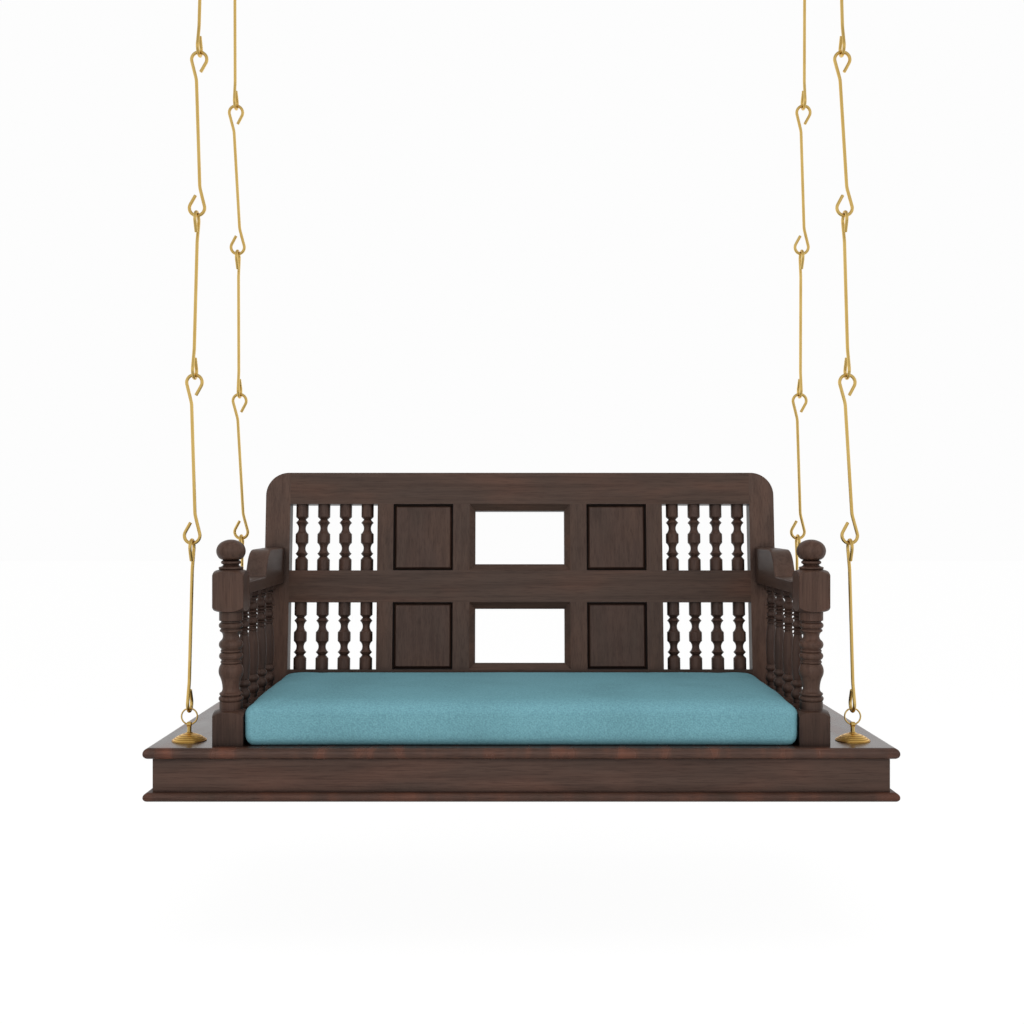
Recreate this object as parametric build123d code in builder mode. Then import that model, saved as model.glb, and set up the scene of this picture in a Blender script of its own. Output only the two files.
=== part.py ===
from build123d import *

import os
from math import asin, atan2, cos, degrees, hypot, radians, sin, sqrt

# Indoor swing (jhoola): a bench of stained timber hung on four chains of brass S-hook rods.
# Millimetres, +Z up. The origin is the middle of the four ceiling studs, on the ceiling's face.
# X runs along the bench, Y from its front edge to its back.

# ---- base, sizes from the nosing plane and the deck's top face ----
deck_length = 1524.0
deck_depth = 701.0
deck_thickness = 22.5
nose_radius = 11.0
apron_inset = 16.0
apron_thickness = 20.0
base_height = 108.5
plinth_height = 18.5
bearer_width = 45.0
bearer_height = 42.0
bearer_spacing = 420.0
hanger_block_length = 96.0
hanger_block_height = 45.0

# ---- front posts ----
post_size = 63.5
post_height = 419.5
post_edge_round = 2.0
post_inner_x = 565.0
post_front_inset = 26.0

# ---- arms ----
arm_width = 46.0
arm_underside = 307.0
arm_low_top = 333.0
arm_high_top = 391.0
arm_scoop_foot = 167.5
arm_scoop_run = 39.5
arm_hollow_radius = 16.0
arm_crest_radius = 60.0
arm_edge_round = 4.0
baluster_size = 30.0
baluster_edge_round = 1.0
baluster_count = 4
baluster_pitch = 89.0
baluster_first = 49.0

# ---- reclined back, sizes up the slope from the deck ----
back_recline = 6.0
back_inset = 443.0
back_half_width = 612.0
back_stock = 38.0
back_height = 574.0
back_corner_radius = 55.0
stile_width = 59.0
rail_height = 76.0
bottom_rail_height = 102.0
spindle_bay = 210.5
outer_muntin = 38.5
panel_bay = 143.5
inner_muntin = 39.5
spindle_radius = 15.3
spindle_count = 4
window_side_width = 13.5
window_head_width = 15.5
window_bevel_depth = 12.0
panel_thickness = 20.0
panel_setback = 3.0
panel_quirk = 3.0
panel_bevel = 5.0
panel_tongue = 6.0
panel_tongue_thickness = 8.0

# ---- cushion ----
cushion_thickness = 98.0
cushion_front_inset = 30.0
cushion_side_gap = 1.0
cushion_round = 22.0
cushion_corner_round = 34.0

# ---- hangers: domed rose, eye bolt, ring ----
hanger_inset_x = 70.5
hanger_inset_y = 92.0
ceiling_spacing_y = 309.0
rose_radius = 35.7
rose_height = 17.4
eye_height = 33.4
eye_radius = 5.4
eye_width = 8.7
eye_edge_round = 0.8
eye_hole_radius = 2.4
neck_radius = 4.3
bolt_radius = 4.0
ceiling_stud_length = 60.0
ring_radius = 16.5
ring_wire_radius = 1.6
nut_flats = 13.0
nut_thickness = 6.5
washer_radius = 12.0
washer_thickness = 2.0
bolt_end = 4.0
screw_radius = 4.0
screw_head_radius = 7.0
screw_head_height = 5.0
screw_bite = 45.0

# ---- chain rods ----
rods_per_chain = 5
rod_pitch = 350.0
rod_wire_radius = 3.5
hook_radius = 16.3
hook_offset = 8.0
hook_tip_rise = 44.0
hook_tip_offset = 3.5
hook_neck_angle = 14.5
hook_bend_radius = 60.0
rod_tip_chamfer = 0.7

# ---- clearances ----
joint_gap = 0.1
float_gap = 0.3
hole_gap = 0.2
link_gap = 0.2
running_gap = 0.6

# ---- a square block's lathe radius, as a share of its billet's width, past the corners ----
past_corners = 0.75

# ---- worked out from the sizes above ----
half_length = deck_length / 2
front_y = -(deck_depth / 2)
hanger_x = half_length - hanger_inset_x
hanger_y = deck_depth / 2 - hanger_inset_y
hook_reach = 2 * ring_radius - ring_wire_radius - rod_wire_radius - running_gap
rod_height = rod_pitch + 2 * rod_wire_radius + link_gap
chain_length = 2 * hook_reach + (rods_per_chain - 1) * rod_pitch + rod_height
chain_lean = asin((hanger_y - ceiling_spacing_y / 2) / chain_length)
chain_drop = chain_length * cos(chain_lean)
deck_top = -(2 * eye_height + chain_drop)
deck_under = deck_top - deck_thickness
base_under = deck_top - base_height

deck_plane = Plane.XY.offset(deck_top)
recline = radians(back_recline)
back_y = front_y + back_inset
back_plane = Plane(
    origin=(0, back_y, deck_top),
    x_dir=(1, 0, 0),
    z_dir=(0, -cos(recline), sin(recline)),
)
opening_height = (back_height - 2 * rail_height - bottom_rail_height) / 2
middle_rail_foot = bottom_rail_height + opening_height
middle_rail_top = middle_rail_foot + rail_height
top_rail_foot = middle_rail_top + opening_height
stile_inner = back_half_width - stile_width
spindle_inner = stile_inner - spindle_bay
panel_outer = spindle_inner - outer_muntin
panel_inner = panel_outer - panel_bay
window_outer = panel_inner - inner_muntin
post_centre_x = post_inner_x + post_size / 2
post_centre_y = front_y + post_front_inset + post_size / 2
post_back_y = post_centre_y + post_size / 2
arm_centre_x = post_inner_x + arm_width / 2
slope = sin(recline) / cos(recline)

chains = {
    "front_left": (-1, -1),
    "front_right": (1, -1),
    "rear_left": (-1, 1),
    "rear_right": (1, 1),
}
os.makedirs("parts", exist_ok=True)


def write(part, name):
    """Labels a finished piece and writes its file."""
    part.label = name
    export_step(part, f"parts/{name}.step")


def turning(stations, stretch=1.0, spread=1.0):
    """Draws a lathe outline through stations of height, radius and the swell of the stretch below each."""
    points = [(radius * spread, height * stretch) for height, radius, _ in stations]
    Line((0, points[0][1]), points[0])
    for low, high, (_, _, swell) in zip(points, points[1:], stations[1:]):
        if swell:
            SagittaArc(low, high, -swell)
        else:
            Line(low, high)
    if points[-1][0]:
        Line(points[-1], (0, points[-1][1]))
    Line((0, points[-1][1]), (0, points[0][1]))


def lathe_turned(place, stations, length, spread=1.0):
    """A solid turned about the place's axis. The stations are stretched to the length."""
    with BuildPart() as piece:
        with BuildSketch(Plane(place.origin, x_dir=place.x_dir, z_dir=-place.y_dir)):
            with BuildLine():
                turning(stations, length / stations[-1][0], spread)
            make_face()
        revolve(axis=Axis(place.origin, place.z_dir))
    return piece.part


def turned_square(place, size, length, edge_round, stations):
    """A square billet, turned between its square blocks."""
    with BuildPart() as piece:
        with BuildSketch(place):
            RectangleRounded(size, size, edge_round)
        extrude(amount=length)
        add(lathe_turned(place, stations, length), mode=Mode.INTERSECT)
    return piece.part


def mitred_strip(edge, length, width, mitre, section):
    """One strip of a mitred frame. The edge plane lies on the outer edge, with X along it and Y inward.

    The mitre is how far in from its ends the strip's inner edge stops.
    """
    across = Plane(edge.origin, x_dir=edge.y_dir, z_dir=edge.x_dir)
    reach = 2 * (base_height + back_stock)
    half = length / 2 - joint_gap
    with BuildPart() as strip:
        with BuildSketch(across):
            with BuildLine():
                section()
            make_face()
        extrude(amount=length / 2, both=True)
        with BuildSketch(edge):
            Polygon((-half, 0), (half, 0), (half - mitre, width), (mitre - half, width), align=None)
        extrude(amount=reach, both=True, mode=Mode.INTERSECT)
    return strip.part


# ==== base ====
hanger_spots = [(x * hanger_x, y * hanger_y) for x, y in chains.values()]
post_spots = [(side * post_centre_x, post_centre_y) for side in (-1, 1)]
stile_screw_y = back_y + back_stock / 2
stile_spots = [(side * (back_half_width - stile_width / 2), stile_screw_y) for side in (-1, 1)]

with BuildPart() as deck_board:
    with BuildSketch(deck_plane):
        Rectangle(deck_length, deck_depth)
    extrude(amount=-deck_thickness)
    upright = deck_board.edges().filter_by(Axis.Z)
    fillet(deck_board.edges() - upright, radius=nose_radius)
    with BuildSketch(deck_plane):
        with Locations(*hanger_spots):
            Circle(bolt_radius + hole_gap)
        with Locations(*post_spots, *stile_spots):
            Circle(screw_radius + hole_gap)
    extrude(amount=-deck_thickness, mode=Mode.SUBTRACT)
write(deck_board.part, "deck_board")

apron_height = base_height - deck_thickness
apron_run = deck_length - 2 * apron_inset
apron_span = deck_depth - 2 * apron_inset
for name, side in (("apron_front", -1), ("apron_rear", 1)):
    with BuildPart() as apron:
        with BuildSketch(Plane.XY.offset(base_under)):
            with Locations((0, side * (apron_span - apron_thickness) / 2)):
                Rectangle(apron_run, apron_thickness)
        extrude(amount=apron_height)
    write(apron.part, name)

with BuildPart() as apron_ends:
    with BuildSketch(Plane.XY.offset(base_under)):
        with GridLocations(apron_run - apron_thickness, 0, 2, 1):
            Rectangle(apron_thickness, apron_span - 2 * apron_thickness)
    extrude(amount=apron_height)
write(apron_ends.part, "apron_ends")


def plinth_section():
    """The base moulding: a flat strip with a full round nose."""
    round_start = plinth_height / 2
    Polyline((round_start, 0), (apron_inset, 0), (apron_inset, plinth_height), (round_start, plinth_height))
    ThreePointArc((round_start, plinth_height), (0, plinth_height / 2), (round_start, 0))


edges = [
    (Plane((0, front_y, base_under), x_dir=(1, 0, 0)), deck_length),
    (Plane((0, -front_y, base_under), x_dir=(-1, 0, 0)), deck_length),
    (Plane((-half_length, 0, base_under), x_dir=(0, -1, 0)), deck_depth),
    (Plane((half_length, 0, base_under), x_dir=(0, 1, 0)), deck_depth),
]
plinth = [mitred_strip(edge, length, apron_inset, apron_inset, plinth_section) for edge, length in edges]
with BuildPart() as base_moulding:
    add(plinth)
write(base_moulding.part, "base_moulding")

bearer_run = apron_span - 2 * apron_thickness
with BuildPart() as deck_bearers:
    with BuildSketch(Plane.XY.offset(deck_under)):
        with GridLocations(bearer_spacing, 0, 3, 1):
            Rectangle(bearer_width, bearer_run)
    extrude(amount=-bearer_height)
write(deck_bearers.part, "deck_bearers")

block_inner = apron_inset + apron_thickness
with BuildPart() as hanger_blocks:
    with BuildSketch(Plane.XY.offset(deck_under)):
        for side_x, side_y in chains.values():
            x = side_x * (half_length - block_inner - hanger_block_length / 2)
            y = side_y * (deck_depth / 2 - block_inner - hanger_block_length / 2)
            with Locations((x, y)):
                Rectangle(hanger_block_length, hanger_block_length)
        with Locations(*hanger_spots):
            Circle(bolt_radius + hole_gap, mode=Mode.SUBTRACT)
    extrude(amount=-hanger_block_height)
write(hanger_blocks.part, "hanger_blocks")

# ==== front posts ====
# Stations of height, radius and swell. Where the radius is full the billet stays square.
full = past_corners * post_size
post_stations = [
    (0, full, 0), (55, full, 0), (70.5, 24.5, 3.0), (71.5, 23.5, 0), (86, 23.5, 0), (88, 22.2, 0),
    (98, 22.0, 3.0), (99.5, 21.0, 0), (105.5, 21.6, 2.3), (108.5, 18.4, -0.4), (116, 17.3, -0.5),
    (137, 21.9, -0.9), (164, 20.5, 3.9), (165, 19.4, 0), (170.5, 19.8, 1.8), (173, 19.8, 0),
    (188, 19.4, 4.6), (193.5, 19.7, 1.6), (195, 20.0, 0), (212, 20.8, 4.1), (223, 16.6, -1.6),
    (230, 20.8, -0.8), (235.5, 20.6, 2.1), (237, 20.4, 0), (249.5, 20.4, 4.3), (252, 20.0, 0),
    (253.6, 24.1, 0), (271, 24.1, 0), (272.2, 30.0, 0), (288, full, 2.6), (341.5, full, 0),
    (357.5, 25.0, 3.0), (358.5, 23.6, 0), (363.5, 23.2, 1.6), (367, 16.0, -0.8), (369, 16.8, 0),
    (376, 17.8, 3.0), (377.3, 16.2, 0), (378, 17.6, 0), (384.5, 26.3, 1.3), (396.6, 29.7, 1.0),
    (409.1, 25.0, 1.0), (416, 15.8, 0.7), (post_height, 0, 0.9),
]
for name, side in (("left_post", -1), ("right_post", 1)):
    foot = Plane((side * post_centre_x, post_centre_y, deck_top))
    turned = turned_square(foot, post_size, post_height, post_edge_round, post_stations)
    with BuildPart() as post:
        add(turned)
        with BuildSketch(foot):
            Circle(screw_radius + joint_gap)
        extrude(amount=screw_bite, mode=Mode.SUBTRACT)
    write(post.part, name)

# ==== arms ====
scoop_foot_y = post_back_y + arm_scoop_foot
front_low = (post_back_y, arm_low_top)
rear_high = (back_y + arm_high_top * slope, arm_high_top)


def arm_outline():
    """Side outline of an arm: low at the post, scooped up to the high rest that meets the reclined stile."""
    FilletPolyline(
        front_low,
        (scoop_foot_y, arm_low_top),
        (scoop_foot_y + arm_scoop_run, arm_high_top),
        rear_high,
        radius=[arm_hollow_radius, arm_crest_radius],
    )
    Polyline(
        rear_high,
        (back_y + arm_underside * slope, arm_underside),
        (post_back_y, arm_underside),
        front_low,
    )


for name, side in (("left_arm_rail", -1), ("right_arm_rail", 1)):
    side_plane = Plane((side * arm_centre_x, 0, deck_top), x_dir=(0, 1, 0), z_dir=(1, 0, 0))
    with BuildPart() as arm:
        with BuildSketch(side_plane):
            with BuildLine():
                arm_outline()
            make_face()
        extrude(amount=arm_width / 2, both=True)
        top_faces = arm.faces().filter_by(lambda face: face.normal_at().Z > 0.3)
        across = arm.edges().filter_by(Axis.X)
        top_edges = [edge for face in top_faces for edge in face.edges() if edge not in across]
        fillet(top_edges, radius=arm_edge_round)
    write(arm.part, name)

full = past_corners * baluster_size
arm_stations = [
    (0, full, 0), (62, full, 0), (70, 11.5, 1.2), (71.5, 9.6, 0), (79.5, 9.6, 0), (99.5, 9.4, 4.3),
    (101.5, 8.6, 0), (104.5, 8.6, 0), (106, 10.6, 0), (118.5, 10.8, 3.1), (120.5, 9.4, 0), (122.5, 10.2, 0),
    (171, 12.8, 1.0), (213.5, 8.6, 1.3), (215.5, 8.4, 0), (216.5, 9.6, 0), (219.5, 9.6, 1.2),
    (222, 8.2, 0), (224.5, 8.6, 0), (227, 13.2, -0.7), (228.5, 13.2, 0.5), (230.5, 8.2, -0.6),
    (244.5, 7.9, 3.0), (247, 7.7, 0), (248.5, 9.4, 0), (252.5, 9.4, 1.5), (254.5, 8.2, 0),
    (257.5, 13.2, -0.7), (259.5, 13.2, 0.5), (262, 8.2, -0.6), (279, 8.0, 3.4), (282, 7.8, 0),
    (285.5, 9.6, 0), (291, 9.8, 1.9), (292.5, 10.5, 0), (297, full, 1.2), (307, full, 0),
]
for name, side in (("left_arm_balusters", -1), ("right_arm_balusters", 1)):
    feet = [
        Plane((side * arm_centre_x, post_back_y + baluster_first + number * baluster_pitch, deck_top))
        for number in range(baluster_count)
    ]
    turned = [
        turned_square(foot, baluster_size, arm_underside, baluster_edge_round, arm_stations) for foot in feet
    ]
    with BuildPart() as balusters:
        add(turned)
    write(balusters.part, name)

# ==== back ====
for name, side in (("left_stile", -1), ("right_stile", 1)):
    centre_x = side * (back_half_width - stile_width / 2)
    with BuildPart() as stile:
        with BuildSketch(back_plane):
            with Locations((centre_x, back_height)):
                Rectangle(stile_width, back_height + back_stock, align=(Align.CENTER, Align.MAX))
            top_corners = vertices().group_by(Axis.Y)[-1].sort_by(Axis.X)
            outer_corner = top_corners[0] if side < 0 else top_corners[-1]
            fillet(outer_corner, radius=back_corner_radius)
        extrude(amount=-back_stock)
        split(bisect_by=deck_plane, keep=Keep.TOP)
        with BuildSketch(deck_plane):
            with Locations((centre_x, stile_screw_y)):
                Circle(screw_radius + joint_gap)
        extrude(amount=screw_bite, mode=Mode.SUBTRACT)
    write(stile.part, name)

panel_bays = [side * (panel_inner + panel_outer) / 2 for side in (-1, 1)]
panel_rows = [
    (bottom_rail_height + middle_rail_foot) / 2,
    (middle_rail_top + top_rail_foot) / 2,
]
panel_spots = [(x, v) for x in panel_bays for v in panel_rows]
tongue_back = panel_setback + panel_thickness
tongue_front = tongue_back - panel_tongue_thickness

with BuildPart() as panel_grooves:
    with BuildSketch(back_plane.offset(float_gap / 2 - tongue_front)):
        with Locations(*panel_spots):
            Rectangle(
                panel_bay + 2 * (panel_tongue + float_gap),
                opening_height + 2 * (panel_tongue + float_gap),
            )
    extrude(amount=-(panel_tongue_thickness + float_gap))

rails = {
    "top_rail": (top_rail_foot, back_height),
    "middle_rail": (middle_rail_foot, middle_rail_top),
    "bottom_rail": (-back_stock, bottom_rail_height),
}
for name, (low, high) in rails.items():
    with BuildPart() as rail:
        with BuildSketch(back_plane):
            with Locations((0, (low + high) / 2)):
                Rectangle(2 * stile_inner, high - low)
        extrude(amount=-back_stock)
        split(bisect_by=deck_plane, keep=Keep.TOP)
        add(panel_grooves.part, mode=Mode.SUBTRACT)
    write(rail.part, name)

with BuildPart() as muntins:
    with BuildSketch(back_plane):
        for v in panel_rows:
            with Locations((-(spindle_inner + panel_outer) / 2, v), ((spindle_inner + panel_outer) / 2, v)):
                Rectangle(outer_muntin, opening_height)
            with Locations((-(panel_inner + window_outer) / 2, v), ((panel_inner + window_outer) / 2, v)):
                Rectangle(inner_muntin, opening_height)
    extrude(amount=-back_stock)
    add(panel_grooves.part, mode=Mode.SUBTRACT)
write(muntins.part, "muntins")

with BuildPart() as panels:
    with BuildSketch(back_plane.offset(-panel_setback)):
        with Locations(*panel_spots):
            Rectangle(panel_bay - 2 * panel_quirk, opening_height - 2 * panel_quirk)
    extrude(amount=-panel_thickness)
    with BuildSketch(back_plane.offset(-tongue_front)):
        with Locations(*panel_spots):
            Rectangle(panel_bay + 2 * panel_tongue, opening_height + 2 * panel_tongue)
    extrude(amount=-panel_tongue_thickness)
    facing = Axis(back_plane.origin, back_plane.z_dir)
    fields = panels.faces().filter_by(back_plane).sort_by(facing)[-len(panel_spots):]
    chamfer([edge for field in fields for edge in field.edges()], length=panel_bevel)
write(panels.part, "panels")


def window_bevel(width):
    """Makes the section of a window strip: a wide bevel from the frame's face down to the clear opening."""

    def section():
        Polyline(
            (0, 0),
            (width, -window_bevel_depth),
            (width, -back_stock),
            (0, -back_stock),
            close=True,
        )

    return section


head = window_head_width
jamb = window_side_width
normal = back_plane.z_dir
up = back_plane.y_dir * (opening_height / 2)
side = Vector(window_outer, 0, 0)
for name, v in (("lower_window_frame", panel_rows[0]), ("upper_window_frame", panel_rows[1])):
    middle = back_plane.origin + back_plane.y_dir * v
    strips = [
        (Plane(middle - up, x_dir=side, z_dir=normal), 2 * window_outer, head, jamb),
        (Plane(middle + up, x_dir=-side, z_dir=normal), 2 * window_outer, head, jamb),
        (Plane(middle - side, x_dir=-up, z_dir=normal), opening_height, jamb, head),
        (Plane(middle + side, x_dir=up, z_dir=normal), opening_height, jamb, head),
    ]
    framing = [
        mitred_strip(edge, length, width, mitre, window_bevel(width)) for edge, length, width, mitre in strips
    ]
    with BuildPart() as window:
        add(framing)
    write(window.part, name)

spindle_stations = [
    (0, 15.3, 0), (26.8, 15.3, 0), (34.2, 8.9, 0), (41.4, 15.1, 0), (67.3, 15.3, -6.5), (89, 15.3, 0.2),
    (115.9, 15.1, -6.6), (123.9, 8.5, 0), (130, 14.8, 0), (160, 14.8, 0),
]
pitch = spindle_bay / spindle_count
for name, side in (("left_spindles", -1), ("right_spindles", 1)):
    turned = []
    for v in panel_rows:
        for number in range(spindle_count):
            x = side * (spindle_inner + stile_inner) / 2 + (number - (spindle_count - 1) / 2) * pitch
            foot = back_plane.origin + back_plane.y_dir * (v - opening_height / 2)
            foot = foot - back_plane.z_dir * (back_stock / 2) + Vector(x, 0, 0)
            place = Plane(foot, x_dir=(1, 0, 0), z_dir=back_plane.y_dir)
            spread = spindle_radius / spindle_stations[0][1]
            turned.append(lathe_turned(place, spindle_stations, opening_height, spread))
    with BuildPart() as spindles:
        add(turned)
    write(spindles.part, name)

# ==== cushion ====
cushion_half = post_inner_x - cushion_side_gap
with BuildPart() as cushion:
    with BuildSketch(Plane((0, 0, deck_top), x_dir=(0, 1, 0), z_dir=(1, 0, 0))):
        with BuildLine():
            Polyline(
                (front_y + cushion_front_inset, float_gap),
                (back_y - float_gap, float_gap),
                (back_y - float_gap + cushion_thickness * slope, cushion_thickness),
                (front_y + cushion_front_inset, cushion_thickness),
                close=True,
            )
        make_face()
    extrude(amount=cushion_half, both=True)
    upright = cushion.edges().filter_by(lambda edge: abs((edge % 0.5).Z) > 0.9)
    fillet(upright, radius=cushion_corner_round)
    rim = cushion.faces().sort_by(Axis.Z)[-1].edges() + cushion.faces().sort_by(Axis.Z)[0].edges()
    fillet(rim, radius=cushion_round)
write(cushion.part, "cushion")

# ==== hangers ====
rose_stations = [
    (0, 35.7, 0), (1.8, 35.7, 0), (2.4, 33.6, 0), (5.4, 30.4, 0.5), (5.6, 29.2, 0), (8.8, 25.0, 0.5),
    (9.0, 23.8, 0), (11.8, 18.6, 0.5), (12.0, 17.4, 0), (14.3, 11.6, 0.4), (14.5, 10.4, 0),
    (16.4, 6.6, -0.3), (17.4, 5.8, 0),
]


def rose(place):
    """A stepped dome, turned, with a hole for its bolt's neck."""
    with BuildPart() as dome:
        add(lathe_turned(place, rose_stations, rose_height, rose_radius / rose_stations[0][1]))
        with BuildSketch(place):
            Circle(neck_radius + joint_gap)
        extrude(amount=rose_height, mode=Mode.SUBTRACT)
    return dome.part


def eye_bolt(place, tail):
    """A bolt with a plain neck and a rounded head, cross bored along X for the ring."""
    head = Plane(place.origin + place.z_dir * eye_height, x_dir=(0, 1, 0), z_dir=(1, 0, 0))
    with BuildPart() as bolt:
        with BuildSketch(head):
            Circle(eye_radius)
        extrude(amount=eye_width / 2, both=True)
        fillet(bolt.edges().filter_by(GeomType.CIRCLE), radius=eye_edge_round)
        with BuildSketch(place):
            Circle(neck_radius)
        extrude(amount=eye_height)
        with BuildSketch(place):
            Circle(bolt_radius)
        extrude(amount=-tail)
        with BuildSketch(head):
            Circle(eye_hole_radius)
        extrude(amount=eye_width, both=True, mode=Mode.SUBTRACT)
    return bolt.part


seat_places = [Plane((x, y, deck_top)) for x, y in hanger_spots]
ceiling_places = [
    Plane((x * hanger_x, y * ceiling_spacing_y / 2, 0), x_dir=(1, 0, 0), z_dir=(0, 0, -1))
    for x, y in chains.values()
]
seat_bolt_tail = deck_thickness + hanger_block_height + washer_thickness + nut_thickness + bolt_end
hangers = [
    ("seat", seat_places, seat_bolt_tail),
    ("ceiling", ceiling_places, ceiling_stud_length),
]
for name, places, tail in hangers:
    domes = [rose(place) for place in places]
    with BuildPart() as roses:
        add(domes)
    write(roses.part, f"{name}_roses")
    bolts = [eye_bolt(place, tail) for place in places]
    with BuildPart() as eye_bolts:
        add(bolts)
    write(eye_bolts.part, f"{name}_eye_bolts")

washer_top = deck_under - hanger_block_height
with BuildPart() as hanger_washers:
    with BuildSketch(Plane.XY.offset(washer_top)):
        with Locations(*hanger_spots):
            Circle(washer_radius)
            Circle(bolt_radius + hole_gap, mode=Mode.SUBTRACT)
    extrude(amount=-washer_thickness)
write(hanger_washers.part, "hanger_washers")

with BuildPart() as hanger_nuts:
    with BuildSketch(Plane.XY.offset(washer_top - washer_thickness)):
        with Locations(*hanger_spots):
            RegularPolygon(nut_flats / 2, 6, major_radius=False)
            Circle(bolt_radius + joint_gap, mode=Mode.SUBTRACT)
    extrude(amount=-nut_thickness)
write(hanger_nuts.part, "hanger_nuts")

with BuildPart() as frame_screws:
    with BuildSketch(Plane.XY.offset(deck_under)):
        with Locations(*post_spots, *stile_spots):
            Circle(screw_head_radius)
    extrude(amount=-screw_head_height)
    with BuildSketch(Plane.XY.offset(deck_under)):
        with Locations(*post_spots, *stile_spots):
            Circle(screw_radius)
    extrude(amount=deck_thickness + screw_bite)
write(frame_screws.part, "frame_screws")


# ==== chains ====
def rod(plane):
    """An S-hook rod in its plane: the origin on the lower hook's foot, Y along the pull."""
    centre = (0, hook_radius)
    tip = (-hook_tip_offset, hook_tip_rise)
    tip_distance = hypot(tip[0], tip[1] - hook_radius)
    spread = degrees(atan2(sqrt(tip_distance**2 - hook_radius**2), hook_radius))
    tip_angle = degrees(atan2(tip[1] - hook_radius, tip[0])) + spread
    neck = radians(hook_neck_angle)
    neck_foot = (hook_radius * cos(neck), hook_radius + hook_radius * sin(neck))
    tilt = 2 * hook_offset / rod_height
    run = (neck_foot[0] - hook_offset + tilt * neck_foot[1]) / (sin(neck) - tilt * cos(neck))
    knee = (neck_foot[0] - run * sin(neck), neck_foot[1] + run * cos(neck))
    tip_foot = (
        hook_radius * cos(radians(tip_angle)),
        hook_radius + hook_radius * sin(radians(tip_angle)),
    )

    def turn(point):
        """The matching point on the upper hook, half a turn round the rod's middle."""
        return (-point[0], rod_height - point[1])

    with BuildPart() as bar:
        with BuildLine(plane) as path:
            Line(tip, tip_foot)
            CenterArc(centre, hook_radius, tip_angle, 360 + hook_neck_angle - tip_angle)
            FilletPolyline(neck_foot, knee, turn(knee), turn(neck_foot), radius=hook_bend_radius)
            CenterArc(turn(centre), hook_radius, 180 + tip_angle, 360 + hook_neck_angle - tip_angle)
            Line(turn(tip_foot), turn(tip))
        wire = path.wire()
        with BuildSketch(Plane(wire @ 0, z_dir=wire % 0)):
            Circle(rod_wire_radius)
        sweep(path=wire)
        chamfer(bar.faces().filter_by(GeomType.PLANE).edges(), length=rod_tip_chamfer)
    return bar.part


for chain, (side_x, side_y) in chains.items():
    foot = Vector(side_x * hanger_x, side_y * hanger_y, deck_top + eye_height)
    pull = Vector(0, -side_y * sin(chain_lean), cos(chain_lean))
    across = Vector(1, 0, 0)
    forward = Vector(0, -pull.Z, pull.Y)
    with BuildPart(Plane(foot + pull * ring_radius, x_dir=across, z_dir=forward)) as seat_ring:
        Torus(ring_radius, ring_wire_radius)
    write(seat_ring.part, f"{chain}_seat_ring")
    top_centre = foot + pull * (chain_length - ring_radius)
    with BuildPart(Plane(top_centre, x_dir=across, z_dir=forward)) as ceiling_ring:
        Torus(ring_radius, ring_wire_radius)
    write(ceiling_ring.part, f"{chain}_ceiling_ring")
    for number in range(rods_per_chain):
        low_hook = foot + pull * (hook_reach + number * rod_pitch)
        if number % 2:
            facing = Plane(low_hook, x_dir=across, z_dir=forward)
        else:
            facing = Plane(low_hook, x_dir=forward, z_dir=-across)
        write(rod(facing), f"{chain}_rod_{number + 1}")
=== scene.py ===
import math

import bpy
import numpy as np
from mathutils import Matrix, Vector


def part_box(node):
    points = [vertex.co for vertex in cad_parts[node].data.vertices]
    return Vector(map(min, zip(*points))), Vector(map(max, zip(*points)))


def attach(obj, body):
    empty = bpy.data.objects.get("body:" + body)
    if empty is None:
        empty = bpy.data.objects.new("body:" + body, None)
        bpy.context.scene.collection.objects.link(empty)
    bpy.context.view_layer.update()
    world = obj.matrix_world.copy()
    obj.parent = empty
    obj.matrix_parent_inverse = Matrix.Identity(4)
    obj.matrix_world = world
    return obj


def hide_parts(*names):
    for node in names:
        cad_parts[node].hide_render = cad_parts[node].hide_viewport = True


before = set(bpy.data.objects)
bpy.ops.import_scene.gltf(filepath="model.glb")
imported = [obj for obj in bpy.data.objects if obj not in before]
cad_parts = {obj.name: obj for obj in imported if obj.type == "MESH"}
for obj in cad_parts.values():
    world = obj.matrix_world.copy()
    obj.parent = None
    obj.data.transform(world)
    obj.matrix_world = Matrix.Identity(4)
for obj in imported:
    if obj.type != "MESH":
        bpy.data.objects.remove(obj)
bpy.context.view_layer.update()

MM = 0.001

# ---- places taken from the frame ----
deck_low, deck_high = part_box("deck_board")
cushion_low, cushion_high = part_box("cushion")
DECK = deck_high.z
NOSE = deck_low.y

# ---- the room: the seat hangs at the height people sit at ----
SEAT_HEIGHT = 430 * MM
FLOOR = DECK - SEAT_HEIGHT
FLOOR_SIZE = 40
EYE = Vector((-18.8 * MM, NOSE - 2485 * MM, DECK + 476 * MM))
LENS = 43.456
SENSOR = 36.0

# ---- the bench's back ----
BACK_RECLINE = 6

# ---- wood, cloth and brass ----
WHITE = "#ffffff"
BLACK = "#000000"
BOARD_SHIFT = 13.7
# Reach of the painted shade in the wood's grooves and near other parts.
GROOVE_SHADE_REACH = 30 * MM
# Reach of the painted shade where brass parts touch.
CREVICE_SHADE_REACH = 5 * MM
# Heights over which painted shade darkens the feet of posts.
FOOT_DARK, FOOT_CLEAR = DECK + 30 * MM, DECK + 110 * MM
YARN = 3.2 * MM

# ---- the cushion's foam and cover ----
SLACK = 4 * MM
TOP_ROUND, UPRIGHT_ROUND, FOOT_ROUND = 22 * MM, 7 * MM, 5 * MM
BY_TOP_OR_FOOT = 10 * MM
CLEAR_OF_TOP_ROUND = 30 * MM
AT_FOOT = 1 * MM
VOXEL = 6 * MM
PRESSURE = 4
LAST_FRAME = 20
RESTING = 20 * MM
CROWN = 6 * MM
PROUD = Vector((0.6, 3.5, 3)) * MM
SAG = 3 * MM
PULL = 2.5 * MM
BULGE = 3 * MM
FRONT_DROP, FRONT_REACH = 13 * MM, 200 * MM
END_DROP, END_REACH = 5 * MM, 90 * MM


# ==== camera ====

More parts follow.
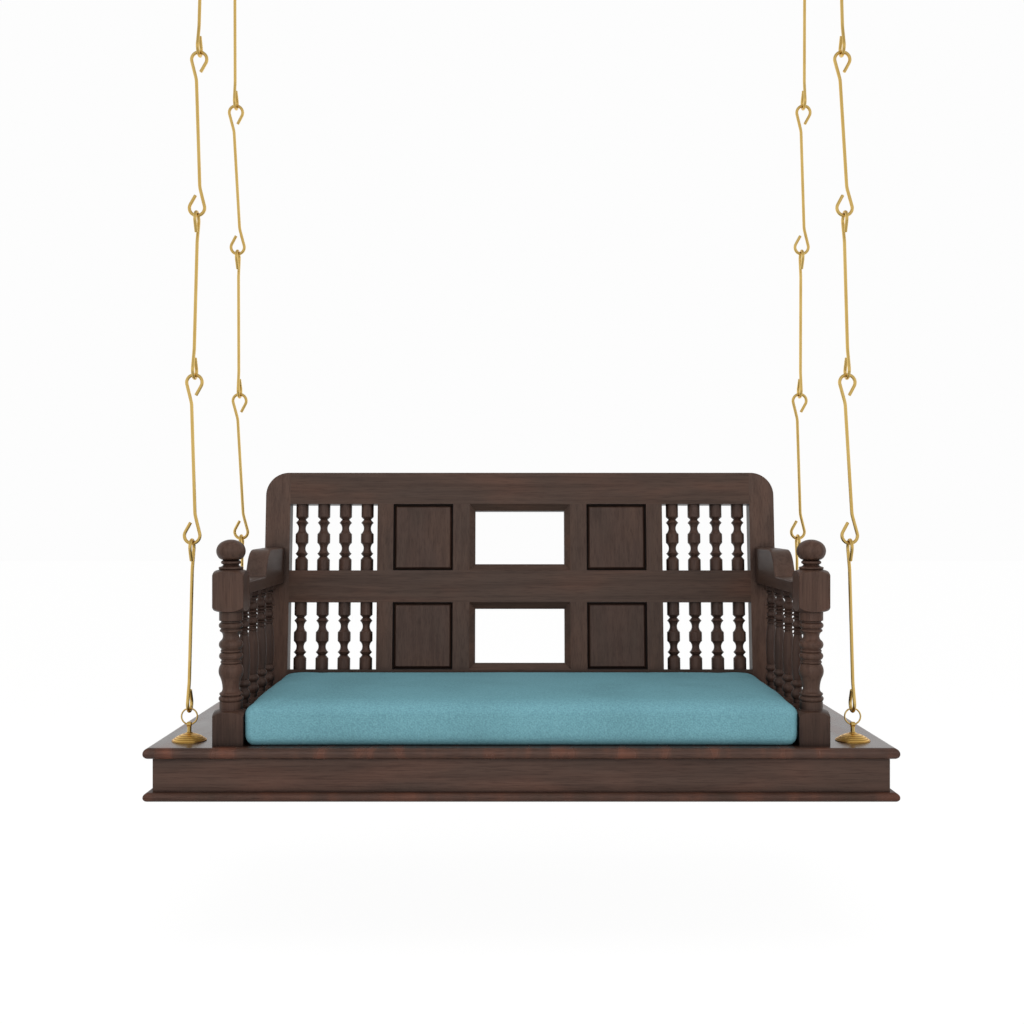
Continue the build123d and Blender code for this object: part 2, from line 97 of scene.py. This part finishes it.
def make_camera():
    """A level camera in front of the bench, a little left of its middle."""
    data = bpy.data.cameras.new("camera")
    data.sensor_width = SENSOR
    data.lens = LENS
    data.clip_end = 100
    camera = bpy.data.objects.new("camera", data)
    camera.location = EYE
    camera.rotation_euler = (math.radians(90), 0, 0)
    bpy.context.scene.collection.objects.link(camera)
    bpy.context.scene.camera = camera


# ==== nodes and colours ====

def linear(hex_colour):
    """An sRGB hex colour as linear RGBA."""
    channels = [int(hex_colour[i:i + 2], 16) / 255 for i in (1, 3, 5)]
    return tuple(
        c / 12.92 if c <= 0.04045 else ((c + 0.055) / 1.055) ** 2.4 for c in channels
    ) + (1,)


def add_node(tree, kind, settings=(), inputs=()):
    """Adds a node. A setting is an attribute; an input is a value or another node's output."""
    node = tree.nodes.new(kind)
    for name, value in dict(settings).items():
        setattr(node, name, value)
    for name, value in dict(inputs).items():
        if isinstance(value, bpy.types.NodeSocket):
            tree.links.new(value, node.inputs[name])
        else:
            node.inputs[name].default_value = value
    return node


def new_material(name):
    """An empty material with a Principled shader joined to its output."""
    material = bpy.data.materials.new(name)
    material.use_nodes = True
    tree = material.node_tree
    tree.nodes.clear()
    shader = add_node(tree, "ShaderNodeBsdfPrincipled")
    add_node(tree, "ShaderNodeOutputMaterial", inputs={"Surface": shader.outputs["BSDF"]})
    return material, tree, shader


def layered(tree, layers):
    """Shades multiplied into one colour, each a pattern with its stops of place and hex colour."""
    colour = None
    for pattern, stops in layers:
        shade = add_node(tree, "ShaderNodeValToRGB", inputs={"Fac": pattern})
        elements = shade.color_ramp.elements
        while len(elements) < len(stops):
            elements.new(0.5)
        for element, (place, hex_colour) in zip(elements, stops):
            element.position = place
            element.color = linear(hex_colour)
        under, colour = colour, shade.outputs["Color"]
        if under is not None:
            colour = add_node(
                tree, "ShaderNodeMix", {"data_type": "RGBA", "blend_type": "MULTIPLY"},
                {"Factor": 1.0, 6: under, 7: colour},
            ).outputs[2]
    return colour


def stretched_noise(tree, place, scale, detail, shift):
    """Noise with its own scale along each axis, as an output between 0 and 1."""
    moved = add_node(
        tree, "ShaderNodeMapping",
        inputs={"Vector": place, "Scale": scale, "Location": shift},
    )
    return add_node(
        tree, "ShaderNodeTexNoise",
        inputs={"Vector": moved.outputs["Vector"], "Scale": 1, "Detail": detail, "Roughness": 0.55},
    ).outputs["Fac"]


# ==== materials ====

def stained_wood(
    name, grain, board, stains,
    foot_shade=1.0, lacquer=0.25, gloss=(0.38, 0.48), figure_mm=(75, 240),
):
    """Close-grained hardwood, planed, stained dark brown and lacquered satin.
    The stain takes a little unevenly: broad patches from umber to red-brown, thin dark streaks
    along the grain and short pores. Painted shade darkens it in grooves and near other parts,
    and at the feet of posts. The lacquer is smooth enough to mirror the light at a low angle only."""
    material, tree, shader = new_material(name)
    place = add_node(tree, "ShaderNodeTexCoord").outputs["Object"]

    def marks(across_mm, along_mm, detail, shift):
        """Noise whose marks have that size across and along the grain, moved on for each board."""
        scale = [1 / (across_mm * MM)] * 3
        scale["XYZ".index(grain)] = 1 / (along_mm * MM)
        own_shift = [part + BOARD_SHIFT * board for part in shift]
        return stretched_noise(tree, place, scale, detail, own_shift)

    patches = marks(*figure_mm, 2, (3.1, 7.7, 1.9))
    streaks = marks(9, 380, 3, (11.3, 2.6, 5.2))
    pores = marks(2.2, 42, 2, (0.7, 9.1, 4.4))
    # Painted shade: the wood is darkened where it is hemmed in, in grooves and near other parts.
    painted_occlusion_shade = add_node(
        tree, "ShaderNodeAmbientOcclusion", {"samples": 6}, {"Distance": GROOVE_SHADE_REACH},
    ).outputs["AO"]
    dark, plain, red = stains
    layers = [
        (patches, [(0.32, dark), (0.50, plain), (0.72, red)]),
        (streaks, [(0.34, "#e2dddb"), (0.58, WHITE)]),
        (pores, [(0.34, "#e0dbd9"), (0.50, WHITE)]),
        (painted_occlusion_shade, [(0.30, "#6f6663"), (0.85, WHITE)]),
    ]
    # Painted shade: darker towards the deck, over the lowest part of the piece.
    if foot_shade < 1:
        height = add_node(tree, "ShaderNodeSeparateXYZ", inputs={"Vector": place}).outputs["Z"]
        painted_foot_shade = add_node(
            tree, "ShaderNodeMapRange",
            inputs={
                "Value": height, "From Min": FOOT_DARK, "From Max": FOOT_CLEAR,
                "To Min": foot_shade,
            },
        ).outputs["Result"]
        layers.append((painted_foot_shade, [(0, BLACK), (1, WHITE)]))
    tree.links.new(layered(tree, layers), shader.inputs["Base Color"])
    relief = add_node(
        tree, "ShaderNodeBump", inputs={"Strength": 0.10, "Distance": 0.3 * MM, "Height": pores},
    )
    tree.links.new(relief.outputs["Normal"], shader.inputs["Normal"])
    smooth, rough = gloss
    sheen = add_node(
        tree, "ShaderNodeMapRange",
        inputs={
            "Value": patches, "From Min": 0.3, "From Max": 0.7, "To Min": smooth, "To Max": rough,
        },
    )
    tree.links.new(sheen.outputs["Result"], shader.inputs["Roughness"])
    shader.inputs["IOR"].default_value = 1.5
    shader.inputs["Specular IOR Level"].default_value = lacquer
    return material


def woven_cloth():
    """Plain-woven upholstery cloth of mixed teal yarns, as spun: matt, faintly flecked light and
    dark. The yarns are 1.3 mm apart and drawn at 3.2 mm, so that the weave shows."""
    material, tree, shader = new_material("teal_plain_weave")
    place = add_node(tree, "ShaderNodeTexCoord").outputs["Object"]
    parts = add_node(tree, "ShaderNodeSeparateXYZ", inputs={"Vector": place}).outputs
    down = add_node(
        tree, "ShaderNodeMath", {"operation": "SUBTRACT"}, {0: parts["Y"], 1: parts["Z"]},
    ).outputs["Value"]

    def yarns(position):
        """Rounded ridges a yarn apart along a position."""
        turn = add_node(
            tree, "ShaderNodeMath", {"operation": "MULTIPLY"}, {0: position, 1: math.pi / YARN},
        ).outputs["Value"]
        return add_node(tree, "ShaderNodeMath", {"operation": "SINE"}, {0: turn}).outputs["Value"]

    def flecks(across_mm, along_mm, axis, shift):
        """Light and dark yarns: noise drawn out along one yarn direction."""
        scale = [1 / (across_mm * MM)] * 3
        scale[axis] = 1 / (along_mm * MM)
        return stretched_noise(tree, place, scale, 1, shift)

    weave = add_node(
        tree, "ShaderNodeMath", {"operation": "MULTIPLY"},
        {0: yarns(parts["X"]), 1: yarns(down)},
    ).outputs["Value"]
    both_ways = add_node(
        tree, "ShaderNodeMath", {"operation": "ADD"},
        {0: flecks(2.1, 5, 0, (0, 0, 0)), 1: flecks(2.1, 4, 2, (5.3, 1.7, 8.2))},
    ).outputs["Value"]
    fleck = add_node(
        tree, "ShaderNodeMapRange",
        inputs={"Value": both_ways, "From Min": 0.47, "From Max": 1.53},
    ).outputs["Result"]
    wear = stretched_noise(tree, place, [1 / (160 * MM)] * 3, 2, (2.2, 4.1, 0.3))
    colour = layered(tree, [
        (fleck, [(0.25, "#547a84"), (0.5, "#5b848d"), (0.80, "#648e96")]),
        (wear, [(0.35, "#f4f4f4"), (0.6, WHITE)]),
    ])
    tree.links.new(colour, shader.inputs["Base Color"])
    relief = add_node(
        tree, "ShaderNodeBump", inputs={"Strength": 0.12, "Distance": 0.4 * MM, "Height": weave},
    )
    tree.links.new(relief.outputs["Normal"], shader.inputs["Normal"])
    shader.inputs["Roughness"].default_value = 1.0
    shader.inputs["Specular IOR Level"].default_value = 0.1
    return material


def yellow_brass(name, light, deep, ridge_mm=0, first_ridge_mm=0):
    """Yellow brass dulled by handling: a soft sheen and faint tarnish. Painted shade browns it
    where rods touch and in small hollows. On spun sheet, painted shade also darkens the metal under
    each step of its dome, a pitch apart in height."""
    material, tree, shader = new_material(name)
    place = add_node(tree, "ShaderNodeTexCoord").outputs["Object"]
    tarnish = stretched_noise(tree, place, [1 / (70 * MM)] * 3, 1, (0, 0, 0))
    # Painted shade: the brass is browned where it is hemmed in, where rods touch and in small
    # hollows.
    painted_occlusion_shade = add_node(
        tree, "ShaderNodeAmbientOcclusion", {"samples": 12}, {"Distance": CREVICE_SHADE_REACH},
    ).outputs["AO"]
    layers = [
        (tarnish, [(0.35, deep), (0.65, light)]),
        (painted_occlusion_shade, [(0.30, "#8a6a3c"), (0.75, WHITE)]),
    ]
    if ridge_mm:
        height = add_node(tree, "ShaderNodeSeparateXYZ", inputs={"Vector": place}).outputs["Z"]
        above_deck = add_node(
            tree, "ShaderNodeMath", {"operation": "SUBTRACT"}, {0: height, 1: DECK},
        ).outputs["Value"]
        below_ceiling = add_node(
            tree, "ShaderNodeMath", {"operation": "SUBTRACT"}, {0: 0, 1: height},
        ).outputs["Value"]
        climb = add_node(
            tree, "ShaderNodeMath", {"operation": "MINIMUM"}, {0: above_deck, 1: below_ceiling},
        ).outputs["Value"]
        radians_per_metre = 2 * math.pi / (ridge_mm * MM)
        first_turn = math.pi * (1 - 2 * first_ridge_mm / ridge_mm)
        turn = add_node(
            tree, "ShaderNodeMath", {"operation": "MULTIPLY_ADD"},
            {0: climb, 1: radians_per_metre, 2: first_turn},
        ).outputs["Value"]
        wave = add_node(
            tree, "ShaderNodeMath", {"operation": "COSINE"}, {0: turn},
        ).outputs["Value"]
        ridge_relief_and_shade = add_node(
            tree, "ShaderNodeMapRange", inputs={"Value": wave, "From Min": -1},
        ).outputs["Result"]
        # Painted shade: dark bands under each step of the dome; the same bands also drive the bump.
        layers.append((ridge_relief_and_shade, [(0.05, "#c4a878"), (0.45, WHITE)]))
        relief = add_node(
            tree, "ShaderNodeBump",
            inputs={"Strength": 0.30, "Distance": 0.5 * MM, "Height": ridge_relief_and_shade},
        )
        tree.links.new(relief.outputs["Normal"], shader.inputs["Normal"])
    tree.links.new(layered(tree, layers), shader.inputs["Base Color"])
    sheen = add_node(
        tree, "ShaderNodeMapRange",
        inputs={
            "Value": tarnish, "From Min": 0.3, "From Max": 0.7, "To Min": 0.42, "To Max": 0.36,
        },
    )
    tree.links.new(sheen.outputs["Result"], shader.inputs["Roughness"])
    shader.inputs["Metallic"].default_value = 1.0
    return material


def zinc_plated_steel():
    """Bright zinc-plated fixings: grey, faintly mottled."""
    material, tree, shader = new_material("zinc_plated_steel")
    place = add_node(tree, "ShaderNodeTexCoord").outputs["Object"]
    spangle = stretched_noise(tree, place, [1 / (4 * MM)] * 3, 2, (0, 0, 0))
    colour = layered(tree, [(spangle, [(0.4, "#9a9ca0"), (0.6, "#b4b6ba")])])
    tree.links.new(colour, shader.inputs["Base Color"])
    shader.inputs["Metallic"].default_value = 1.0
    shader.inputs["Roughness"].default_value = 0.38
    return material


# ==== cushion ====

def deselect_all():
    """Leaves nothing selected."""
    for piece in bpy.context.selected_objects:
        piece.select_set(False)


def make_cushion(cloth):
    """A foam block in a tight sewn cover: boxed sides, soft edges, a slight crown. Its rear side
    leans with the back."""
    deselect_all()
    low, high = cushion_low, cushion_high
    size = high - low
    bpy.ops.mesh.primitive_cube_add(size=1, location=(low + high) / 2)
    cushion = bpy.context.object
    cushion.name = "seat_cushion"
    cushion.scale = (size.x, size.y - SLACK, size.z - SLACK)
    cushion.location.z = low.z + (size.z - SLACK) / 2
    bpy.ops.object.transform_apply(location=True, rotation=False, scale=True)
    lean = math.tan(math.radians(BACK_RECLINE)) * size.z
    for vertex in cushion.data.vertices:
        if vertex.co.y > 0 and vertex.co.z < (low.z + high.z) / 2:
            vertex.co.y -= lean
    round_edges(cushion, TOP_ROUND, lambda middle: middle.z > high.z - BY_TOP_OR_FOOT)
    round_edges(
        cushion, UPRIGHT_ROUND,
        lambda middle: low.z + BY_TOP_OR_FOOT < middle.z < high.z - CLEAR_OF_TOP_ROUND,
    )
    round_edges(cushion, FOOT_ROUND, lambda middle: middle.z < low.z + AT_FOOT)
    cushion.data.remesh_voxel_size = VOXEL
    bpy.ops.object.voxel_remesh()
    inflate(cushion)
    fit_to_seat(cushion, low, high)
    bpy.ops.object.shade_smooth()
    cushion.data.materials.clear()
    cushion.data.materials.append(cloth)
    return cushion


def round_edges(piece, radius, wanted):
    """Rounds the sharp edges whose middle is wanted."""
    points = piece.data.vertices
    bpy.ops.object.mode_set(mode="EDIT")
    bpy.ops.mesh.select_all(action="DESELECT")
    bpy.ops.mesh.select_mode(type="EDGE")
    bpy.ops.mesh.edges_select_sharp(sharpness=math.radians(60))
    bpy.ops.object.mode_set(mode="OBJECT")
    for edge in piece.data.edges:
        middle = (points[edge.vertices[0]].co + points[edge.vertices[1]].co) / 2
        edge.select = edge.select and wanted(middle)
    bpy.ops.object.mode_set(mode="EDIT")
    bpy.ops.mesh.bevel(offset=radius, segments=6, affect="EDGES")
    bpy.ops.object.mode_set(mode="OBJECT")


def points_of(piece):
    """The piece's points as rows of X, Y and Z."""
    flat = np.empty(len(piece.data.vertices) * 3)
    piece.data.vertices.foreach_get("co", flat)
    return flat.reshape(-1, 3)


def set_points(piece, points):
    """Moves the piece's points to those rows."""
    piece.data.vertices.foreach_set("co", points.ravel())
    piece.data.update()


def inflate(piece):
    """Blows the cover up like stuffed cloth, by no more than a small crown, and eases it. What
    rests on the deck doesn't lift."""
    start = points_of(piece)
    stuffing = piece.modifiers.new("stuffing", "CLOTH")
    stuffing.settings.use_pressure = True
    stuffing.settings.uniform_pressure_force = PRESSURE
    stuffing.settings.effector_weights.gravity = 0
    scene = bpy.context.scene
    scene.frame_start = 1
    scene.frame_end = LAST_FRAME
    for number in range(scene.frame_start, scene.frame_end + 1):
        scene.frame_set(number)
    bpy.ops.object.modifier_apply(modifier=stuffing.name)
    scene.frame_set(scene.frame_start)
    moved = points_of(piece) - start
    moved[:, 2] = np.where(start[:, 2] < cushion_low.z + RESTING, 0, moved[:, 2])
    far = np.linalg.norm(moved, axis=1, keepdims=True)
    set_points(piece, start + moved * np.minimum(1, CROWN / np.maximum(far, 1e-9)))
    eased = piece.modifiers.new("eased", "SMOOTH")
    eased.factor = 0.5
    eased.iterations = 6
    bpy.ops.object.modifier_apply(modifier=eased.name)


def fit_to_seat(piece, low, high):
    """Stretches the cushion between the posts and up to the back, pulls its sides in between the
    corners, lets its top fall away to the front and ends, and rests it on the deck."""
    points = points_of(piece)
    target_low = np.array((low.x - PROUD.x, low.y - PROUD.y, low.z - SAG))
    target_high = np.array((high.x + PROUD.x, high.y, high.z + PROUD.z))
    middle, half = (target_low + target_high) / 2, (target_high - target_low) / 2
    have_low, have_high = points.min(axis=0), points.max(axis=0)
    place = 2 * (points - have_low) / (have_high - have_low) - 1
    place[:, :2] = np.clip(place[:, :2] * (1 + BULGE / half[:2]), -1, 1)
    across, along = place[:, 0].copy(), place[:, 1].copy()
    place[:, 0] *= 1 - PULL / half[0] * (1 - along ** 4)
    place[:, 1] *= 1 - PULL / half[1] * (1 - across ** 4) * (along < 0)
    points = middle + place * half
    above_middle = np.clip(place[:, 2], 0, 1)
    for axis, edge, inwards, drop, reach in (
        (1, target_low[1], 1, FRONT_DROP, FRONT_REACH),
        (0, target_low[0], 1, END_DROP, END_REACH),
        (0, target_high[0], -1, END_DROP, END_REACH),
    ):
        inside = (points[:, axis] - edge) * inwards
        points[:, 2] -= above_middle * drop * np.clip(1 - inside / reach, 0, 1) ** 2
    points[:, 2] = np.maximum(points[:, 2], low.z)
    set_points(piece, points)


# ==== stage ====

def make_floor():
    """A pale floor. To the camera it is nearly white and keeps a faint shadow; polished pieces see
    it white behind the bench and dim in front."""
    deselect_all()
    bpy.ops.mesh.primitive_plane_add(size=FLOOR_SIZE, location=(0, 0, FLOOR))
    floor = bpy.context.object
    floor.name = "floor"
    material, tree, shader = new_material("pale_floor")
    shader.inputs["Base Color"].default_value = linear("#f4f3f1")
    shader.inputs["Roughness"].default_value = 0.9
    ray = add_node(tree, "ShaderNodeLightPath").outputs
    place = add_node(tree, "ShaderNodeTexCoord").outputs["Object"]
    depth = add_node(tree, "ShaderNodeSeparateXYZ", inputs={"Vector": place}).outputs["Y"]
    mirrored = add_node(
        tree, "ShaderNodeMapRange",
        inputs={"Value": depth, "From Min": -0.5, "From Max": 0.6, "To Min": 0.45, "To Max": 1.0},
    ).outputs["Result"]
    bright = add_node(
        tree, "ShaderNodeMix", inputs={0: ray["Is Camera Ray"], 2: mirrored, 3: 1.03},
    ).outputs[0]
    glow = add_node(
        tree, "ShaderNodeEmission", inputs={"Color": (1, 1, 1, 1), "Strength": bright},
    )
    seen = add_node(
        tree, "ShaderNodeMath", {"operation": "MAXIMUM"},
        {0: ray["Is Camera Ray"], 1: ray["Is Glossy Ray"]},
    ).outputs["Value"]
    shown = add_node(
        tree, "ShaderNodeMath", {"operation": "MULTIPLY"}, {0: seen, 1: 0.92},
    ).outputs["Value"]
    surface = add_node(
        tree, "ShaderNodeMixShader",
        inputs={0: shown, 1: shader.outputs["BSDF"], 2: glow.outputs["Emission"]},
    )
    output = next(node for node in tree.nodes if node.type == "OUTPUT_MATERIAL")
    tree.links.new(surface.outputs["Shader"], output.inputs["Surface"])
    floor.data.materials.append(material)


def make_world():
    """White to the camera. Polished pieces see it bright behind the bench and dimmer in front.
    The light that reaches the object is even, and a little stronger from the front."""
    world = bpy.data.worlds.new("studio")
    bpy.context.scene.world = world
    world.use_nodes = True
    tree = world.node_tree
    tree.nodes.clear()
    ray = add_node(tree, "ShaderNodeLightPath").outputs
    place = add_node(tree, "ShaderNodeTexCoord").outputs["Generated"]
    parts = add_node(tree, "ShaderNodeSeparateXYZ", inputs={"Vector": place}).outputs

    def graded(front, behind, overhead):
        """A background whose strength runs from the room's front to its back, and to overhead."""
        level = add_node(
            tree, "ShaderNodeMapRange",
            inputs={
                "Value": parts["Y"], "From Min": -0.3, "From Max": 0.5,
                "To Min": front, "To Max": behind,
            },
        ).outputs["Result"]
        strength = add_node(
            tree, "ShaderNodeMapRange",
            inputs={
                "Value": parts["Z"], "From Min": 0.3, "From Max": 0.9,
                "To Min": level, "To Max": overhead,
            },
        ).outputs["Result"]
        return add_node(
            tree, "ShaderNodeBackground",
            inputs={"Color": (1, 1, 1, 1), "Strength": strength},
        ).outputs["Background"]

    white = add_node(
        tree, "ShaderNodeBackground", inputs={"Color": linear("#fdfdfd"), "Strength": 1.0},
    ).outputs["Background"]
    lighting, mirrored = graded(0.66, 0.50, 0.66), graded(0.80, 1.0, 0.40)
    unseen = add_node(
        tree, "ShaderNodeMixShader", inputs={0: ray["Is Glossy Ray"], 1: lighting, 2: mirrored},
    ).outputs["Shader"]
    shown = add_node(
        tree, "ShaderNodeMixShader", inputs={0: ray["Is Camera Ray"], 1: unseen, 2: white},
    ).outputs["Shader"]
    add_node(tree, "ShaderNodeOutputWorld", inputs={"Surface": shown})


def make_softbox(name, place, aim, width, height, power):
    """A large rectangular lamp that faces a point and that polished pieces don't mirror."""
    data = bpy.data.lights.new(name, "AREA")
    data.shape = "RECTANGLE"
    data.size = width
    data.size_y = height
    data.energy = power
    lamp = bpy.data.objects.new(name, data)
    lamp.location = place
    lamp.rotation_euler = (Vector(aim) - Vector(place)).to_track_quat("-Z", "Y").to_euler()
    lamp.visible_glossy = False
    bpy.context.scene.collection.objects.link(lamp)


# ==== assembly ====

make_camera()
rod_brass = yellow_brass("brushed_brass", "#eecb7b", "#e9c472")
rose_brass = yellow_brass("spun_brass", "#f2cb78", "#ecc16a", ridge_mm=3.1, first_ridge_mm=2.0)
zinc = zinc_plated_steel()
cloth = woven_cloth()

# Each group of boards: words in the node's name, the grain's axis, its dark, plain and red stain,
# and what sets it apart from the other boards.
CROSS_FIGURE = (190, 62)
BOARDS = [
    (("apron_ends", "deck_bearers", "arm_rail"), "Y", ("#3f3029", "#43322a", "#4c372d"), {}),
    (("base_moulding",), "X", ("#372820", "#3e2a22", "#4e3024"), {"figure_mm": CROSS_FIGURE}),
    (("apron",), "X", ("#3e2f28", "#433129", "#4e362c"), {}),
    (("deck_board",), "X", ("#3a2b25", "#412e26", "#5f3829"),
     {"figure_mm": CROSS_FIGURE, "lacquer": 0.32, "gloss": (0.22, 0.30)}),
    # The posts carry painted shade at their feet.
    (("post",), "Z", ("#3e2e26", "#433027", "#4d352b"), {"foot_shade": 0.55}),
    (("baluster", "spindles"), "Z", ("#382a24", "#3d2c25", "#443128"), {}),
    (("stile",), "Z", ("#3e3029", "#43322a", "#4c372d"), {}),
    (("muntins",), "Z", ("#392b24", "#3d2d25", "#433027"), {}),
    (("panels",), "Z", ("#382a23", "#3b2b24", "#412f26"), {}),
    (("rail", "window", "blocks"), "X", ("#392b24", "#3d2d25", "#473127"), {}),
]
boards = [
    (words, stained_wood(f"stained_hardwood_{words[0]}", grain, number, stains, **own))
    for number, (words, grain, stains, own) in enumerate(BOARDS)
]


def finish_for(node):
    """The material of a CAD piece, by its name."""
    def named(*words):
        return any(word in node for word in words)

    if named("washers", "nuts", "screws"):
        return zinc
    if named("rose"):
        return rose_brass
    if named("eye_bolt", "ring", "rod"):
        return rod_brass
    return next(material for words, material in boards if named(*words))


for node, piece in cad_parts.items():
    if node != "cushion":
        piece.material_slots[0].material = finish_for(node)

cushion = make_cushion(cloth)
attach(cushion, "seat")
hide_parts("cushion")

make_floor()
make_world()

# Each softbox: its name, place, width, height and power.
SOFTBOXES = [
    ("front_softbox", (-0.6, -4.6, DECK + 1.2), 3.2, 2.6, 105),
    ("side_softbox", (3.0, -3.8, DECK + 1.2), 2.4, 2.4, 40),
    ("top_softbox", (0, -1.2, DECK + 3.4), 3.6, 2.4, 64),
]
bench_middle = Vector((0, 0, DECK + 0.25))
for name, place, width, height, power in SOFTBOXES:
    make_softbox(name, place, bench_middle, width, height, power)
bpy.context.scene.view_settings.view_transform = "Standard"
